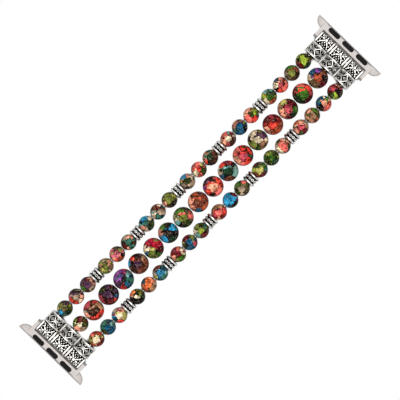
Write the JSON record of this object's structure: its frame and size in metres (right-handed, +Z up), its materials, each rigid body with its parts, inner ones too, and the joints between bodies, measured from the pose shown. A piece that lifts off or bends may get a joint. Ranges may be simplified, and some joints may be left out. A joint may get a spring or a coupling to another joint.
{
  "type": "beaded watch band",
  "caption": "Elastic-strung beaded wrist-watch band: parallel strands of round stone beads with metal spacers, patterned end beads and slide-in lug adapters.",
  "frame": {"origin": "on the surface that the band lies on, under the middle of the band", "axes": "+X along the band towards the end where the middle strand keeps a large bead, +Y across the band, +Z up, towards the skin side"},
  "size_m": [0.1624, 0.0318, 0.0079],
  "materials": {
    "jasper_red": "polished",
    "jasper_green": "polished",
    "jasper_teal": "polished",
    "jasper_tan": "polished",
    "jasper_plum": "polished",
    "antique_silver": "satin",
    "satin_steel": "satin",
    "spring_steel": "gloss",
    "black_insert": "matte",
    "clear_elastic": "satin"
  },
  "bodies": {
    "row_1": {"bead_row_1": "jasper_plum"},
    "row_2": {"bead_row_2": "jasper_red"},
    "row_3": {"bead_row_3": "jasper_tan"},
    "row_4": {"bead_row_4": "jasper_red"},
    "row_5": {"bead_row_5": "jasper_tan"},
    "row_6": {"bead_row_6": "jasper_red"},
    "row_7": {"bead_row_7": "jasper_green"},
    "row_8": {"bead_row_8": "jasper_red"},
    "row_9": {"bead_row_9": "jasper_tan", "elastic_cord_left": "clear_elastic", "elastic_cord_middle": "clear_elastic", "elastic_cord_right": "clear_elastic"},
    "row_10": {"bead_row_10": "jasper_green"},
    "row_11": {"bead_row_11": "jasper_teal"},
    "row_12": {"bead_row_12": "jasper_red"},
    "row_13": {"bead_row_13": "jasper_tan"},
    "row_14": {"bead_row_14": "jasper_plum"},
    "row_15": {"bead_row_15": "jasper_plum"},
    "row_16": {"bead_row_16": "jasper_tan"},
    "row_17": {"bead_row_17": "jasper_green"},
    "spacers_1": {"spacer_pair_1": "antique_silver"},
    "spacers_2": {"spacer_pair_2": "antique_silver"},
    "spacers_3": {"spacer_pair_3": "antique_silver"},
    "spacers_4": {"spacer_pair_4": "antique_silver"},
    "spacers_5": {"spacer_pair_5": "antique_silver"},
    "drums_a": {"drum_a_left": "antique_silver", "drum_a_middle": "antique_silver", "drum_a_right": "antique_silver"},
    "tiles_a": {"tile_a_left": "antique_silver", "tile_a_middle": "antique_silver", "tile_a_right": "antique_silver"},
    "lug_a": {"lug_frame_a": "satin_steel", "side_pads_a": "black_insert", "latch_springs_a": "spring_steel", "bar_tube_a": "spring_steel", "bar_spring_a": "spring_steel"},
    "latch_a": {"latch_a": "black_insert"},
    "tip_a_left": {"bar_tip_a_left": "spring_steel"},
    "tip_a_right": {"bar_tip_a_right": "spring_steel"},
    "drums_b": {"drum_b_left": "antique_silver", "drum_b_middle": "antique_silver", "drum_b_right": "antique_silver"},
    "tiles_b": {"tile_b_left": "antique_silver", "tile_b_middle": "antique_silver", "tile_b_right": "antique_silver"},
    "lug_b": {"lug_frame_b": "satin_steel", "side_pads_b": "black_insert", "latch_springs_b": "spring_steel", "bar_tube_b": "spring_steel", "bar_spring_b": "spring_steel"},
    "latch_b": {"latch_b": "black_insert"},
    "tip_b_left": {"bar_tip_b_left": "spring_steel"},
    "tip_b_right": {"bar_tip_b_right": "spring_steel"}
  },
  "joints": [
    {"name": "band_curl", "type": "hinge", "parent": "row_9", "child": "row_8", "pos_m": [0.00308, 0, 0.004], "axis": [0, -1, 0], "range_deg": [-5, 16], "deforming": ["elastic_cord_left", "elastic_cord_middle", "elastic_cord_right"]},
    {"name": "curl_row_7", "type": "hinge", "parent": "row_8", "child": "row_7", "pos_m": [0.01112, 0, 0.004], "axis": [0, -1, 0], "range_deg": [-5, 16]},
    {"name": "stretch_spacers_2", "type": "slide", "parent": "row_7", "child": "spacers_2", "axis": [1, 0, 0], "range_m": [0, 0.003], "stiffness_N_per_m": 800},
    {"name": "curl_row_6", "type": "hinge", "parent": "spacers_2", "child": "row_6", "pos_m": [0.01918, 0, 0.004], "axis": [0, -1, 0], "range_deg": [-5, 16]},
    {"name": "curl_row_5", "type": "hinge", "parent": "row_6", "child": "row_5", "pos_m": [0.02722, 0, 0.004], "axis": [0, -1, 0], "range_deg": [-5, 16]},
    {"name": "curl_row_4", "type": "hinge", "parent": "row_5", "child": "row_4", "pos_m": [0.03528, 0, 0.004], "axis": [0, -1, 0], "range_deg": [-5, 16]},
    {"name": "stretch_spacers_1", "type": "slide", "parent": "row_4", "child": "spacers_1", "axis": [1, 0, 0], "range_m": [0, 0.003], "stiffness_N_per_m": 800},
    {"name": "curl_row_3", "type": "hinge", "parent": "spacers_1", "child": "row_3", "pos_m": [0.04333, 0, 0.004], "axis": [0, -1, 0], "range_deg": [-5, 16]},
    {"name": "curl_row_2", "type": "hinge", "parent": "row_3", "child": "row_2", "pos_m": [0.05137, 0, 0.004], "axis": [0, -1, 0], "range_deg": [-5, 16]},
    {"name": "curl_row_1", "type": "hinge", "parent": "row_2", "child": "row_1", "pos_m": [0.05942, 0, 0.004], "axis": [0, -1, 0], "range_deg": [-5, 16]},
    {"name": "band_stretch", "type": "slide", "parent": "row_9", "child": "spacers_3", "axis": [-1, 0, 0], "range_m": [0, 0.003], "stiffness_N_per_m": 800, "deforming": ["elastic_cord_left", "elastic_cord_middle", "elastic_cord_right"]},
    {"name": "curl_row_10", "type": "hinge", "parent": "spacers_3", "child": "row_10", "pos_m": [-0.00498, 0, 0.004], "axis": [0, 1, 0], "range_deg": [-5, 16]},
    {"name": "curl_row_11", "type": "hinge", "parent": "row_10", "child": "row_11", "pos_m": [-0.01303, 0, 0.004], "axis": [0, 1, 0], "range_deg": [-5, 16]},
    {"name": "curl_spacers_4", "type": "hinge", "parent": "row_11", "child": "spacers_4", "pos_m": [-0.02107, 0, 0.004], "axis": [0, 1, 0], "range_deg": [-5, 16]},
    {"name": "stretch_row_12", "type": "slide", "parent": "spacers_4", "child": "row_12", "axis": [-1, 0, 0], "range_m": [0, 0.003], "stiffness_N_per_m": 800},
    {"name": "curl_row_13", "type": "hinge", "parent": "row_12", "child": "row_13", "pos_m": [-0.02913, 0, 0.004], "axis": [0, 1, 0], "range_deg": [-5, 16]},
    {"name": "curl_row_14", "type": "hinge", "parent": "row_13", "child": "row_14", "pos_m": [-0.03717, 0, 0.004], "axis": [0, 1, 0], "range_deg": [-5, 16]},
    {"name": "curl_spacers_5", "type": "hinge", "parent": "row_14", "child": "spacers_5", "pos_m": [-0.04523, 0, 0.004], "axis": [0, 1, 0], "range_deg": [-5, 16]},
    {"name": "stretch_row_15", "type": "slide", "parent": "spacers_5", "child": "row_15", "axis": [-1, 0, 0], "range_m": [0, 0.003], "stiffness_N_per_m": 800},
    {"name": "curl_row_16", "type": "hinge", "parent": "row_15", "child": "row_16", "pos_m": [-0.05328, 0, 0.004], "axis": [0, 1, 0], "range_deg": [-5, 16]},
    {"name": "curl_row_17", "type": "hinge", "parent": "row_16", "child": "row_17", "pos_m": [-0.06132, 0, 0.004], "axis": [0, 1, 0], "range_deg": [-5, 16]},
    {"name": "curl_drums_a", "type": "hinge", "parent": "row_1", "child": "drums_a", "pos_m": [0.06755, 0, 0.004], "axis": [0, -1, 0], "range_deg": [-5, 16]},
    {"name": "curl_tiles_a", "type": "hinge", "parent": "drums_a", "child": "tiles_a", "pos_m": [0.07253, 0, 0.0032], "axis": [0, -1, 0], "range_deg": [-2.5, 8]},
    {"name": "lug_pivot_a", "type": "hinge", "parent": "tiles_a", "child": "lug_a", "pos_m": [0.07508, 0, 0.00245], "axis": [0, -1, 0], "range_deg": [-20, 20]},
    {"name": "latch_press_a", "type": "slide", "parent": "lug_a", "child": "latch_a", "axis": [0, 0, -1], "range_m": [0, 0.0005], "stiffness_N_per_m": 300, "springref_m": -0.0005, "deforming": ["latch_springs_a"]},
    {"name": "tip_release_a_left", "type": "slide", "parent": "lug_a", "child": "tip_a_left", "axis": [0, -1, 0], "range_m": [0, 0.001], "stiffness_N_per_m": 400, "springref_m": -0.001, "deforming": ["bar_spring_a"]},
    {"name": "tip_release_a_right", "type": "slide", "parent": "lug_a", "child": "tip_a_right", "axis": [0, 1, 0], "range_m": [0, 0.001], "stiffness_N_per_m": 400, "springref_m": -0.001, "deforming": ["bar_spring_a"]},
    {"name": "curl_drums_b", "type": "hinge", "parent": "row_17", "child": "drums_b", "pos_m": [-0.06755, 0, 0.004], "axis": [0, 1, 0], "range_deg": [-5, 16]},
    {"name": "curl_tiles_b", "type": "hinge", "parent": "drums_b", "child": "tiles_b", "pos_m": [-0.07253, 0, 0.0032], "axis": [0, 1, 0], "range_deg": [-2.5, 8]},
    {"name": "lug_pivot_b", "type": "hinge", "parent": "tiles_b", "child": "lug_b", "pos_m": [-0.07508, 0, 0.00245], "axis": [0, 1, 0], "range_deg": [-20, 20]},
    {"name": "latch_press_b", "type": "slide", "parent": "lug_b", "child": "latch_b", "axis": [0, 0, -1], "range_m": [0, 0.0005], "stiffness_N_per_m": 300, "springref_m": -0.0005, "deforming": ["latch_springs_b"]},
    {"name": "tip_release_b_left", "type": "slide", "parent": "lug_b", "child": "tip_b_left", "axis": [0, -1, 0], "range_m": [0, 0.001], "stiffness_N_per_m": 400, "springref_m": -0.001, "deforming": ["bar_spring_b"]},
    {"name": "tip_release_b_right", "type": "slide", "parent": "lug_b", "child": "tip_b_right", "axis": [0, 1, 0], "range_m": [0, 0.001], "stiffness_N_per_m": 400, "springref_m": -0.001, "deforming": ["bar_spring_b"]}
  ],
  "couplings": [
    {"joint": "curl_row_7", "follows": "band_curl", "ratio": 1},
    {"joint": "stretch_spacers_2", "follows": "band_stretch", "ratio": 1},
    {"joint": "curl_row_6", "follows": "band_curl", "ratio": 1},
    {"joint": "curl_row_5", "follows": "band_curl", "ratio": 1},
    {"joint": "curl_row_4", "follows": "band_curl", "ratio": 1},
    {"joint": "stretch_spacers_1", "follows": "band_stretch", "ratio": 1},
    {"joint": "curl_row_3", "follows": "band_curl", "ratio": 1},
    {"joint": "curl_row_2", "follows": "band_curl", "ratio": 1},
    {"joint": "curl_row_1", "follows": "band_curl", "ratio": 1},
    {"joint": "curl_row_10", "follows": "band_curl", "ratio": 1},
    {"joint": "curl_row_11", "follows": "band_curl", "ratio": 1},
    {"joint": "curl_spacers_4", "follows": "band_curl", "ratio": 1},
    {"joint": "stretch_row_12", "follows": "band_stretch", "ratio": 1},
    {"joint": "curl_row_13", "follows": "band_curl", "ratio": 1},
    {"joint": "curl_row_14", "follows": "band_curl", "ratio": 1},
    {"joint": "curl_spacers_5", "follows": "band_curl", "ratio": 1},
    {"joint": "stretch_row_15", "follows": "band_stretch", "ratio": 1},
    {"joint": "curl_row_16", "follows": "band_curl", "ratio": 1},
    {"joint": "curl_row_17", "follows": "band_curl", "ratio": 1},
    {"joint": "curl_drums_a", "follows": "band_curl", "ratio": 1},
    {"joint": "curl_tiles_a", "follows": "band_curl", "ratio": 0.5},
    {"joint": "curl_drums_b", "follows": "band_curl", "ratio": 1},
    {"joint": "curl_tiles_b", "follows": "band_curl", "ratio": 0.5}
  ]
}
